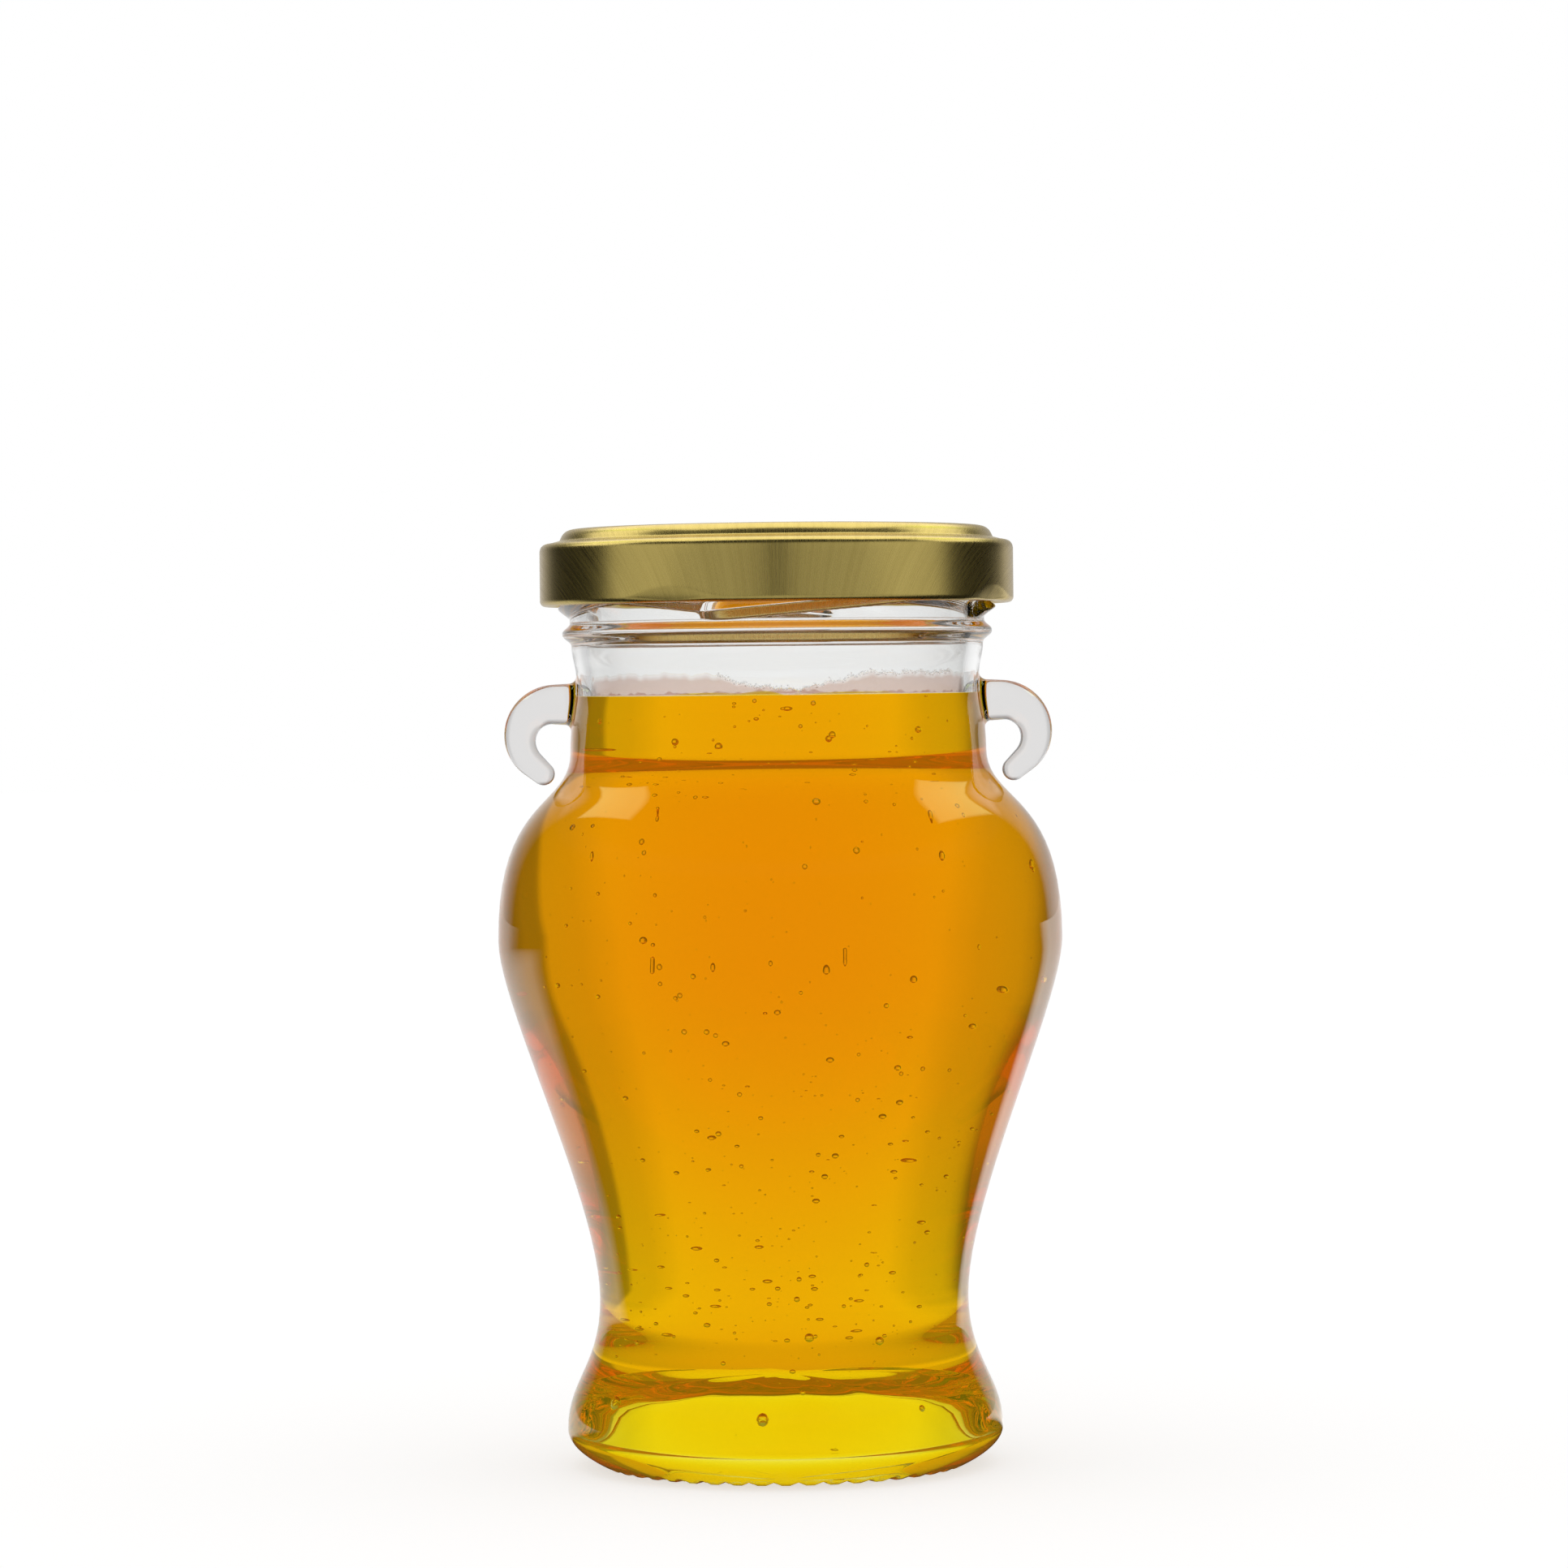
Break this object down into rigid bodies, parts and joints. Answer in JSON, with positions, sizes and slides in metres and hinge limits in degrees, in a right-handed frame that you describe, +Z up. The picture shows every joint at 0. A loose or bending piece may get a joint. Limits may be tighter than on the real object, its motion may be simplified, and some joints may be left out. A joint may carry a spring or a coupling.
{
  "type": "glass jar",
  "caption": "Amphora-shaped clear glass jar with small hooked ears on its neck, filled with honey and closed by a gold twist-off metal lid.",
  "frame": {"origin": "centre of the foot ring that the jar stands on", "axes": "+Z up along the jar's axis, X through the two ears, -Y towards the viewer of the picture"},
  "size_m": [0.0786, 0.0786, 0.1304],
  "materials": {
    "clear_glass": "clear flint glass, fire polished",
    "honey": "clear amber honey",
    "seal_compound": "soft cream compound",
    "gold_tinplate": "satin gold lacquer on tinplate"
  },
  "bodies": {
    "jar": {"glass_jar": "clear_glass", "honey_fill": "honey"},
    "seal": {"sealing_ring": "seal_compound"},
    "lid": {"twist_lid": "gold_tinplate"}
  },
  "joints": [
    {"name": "lid_rise", "type": "slide", "parent": "jar", "child": "seal", "axis": [0, 0, 1], "range_m": [0, 0.01601]},
    {"name": "lid_twist", "type": "hinge", "parent": "seal", "child": "lid", "pos_m": [0, 0, 0.1245], "axis": [0, 0, 1], "range_deg": [0, 360]}
  ],
  "couplings": [
    {"joint": "lid_rise", "follows": "lid_twist", "m_per_rad": 0.0025465}
  ]
}
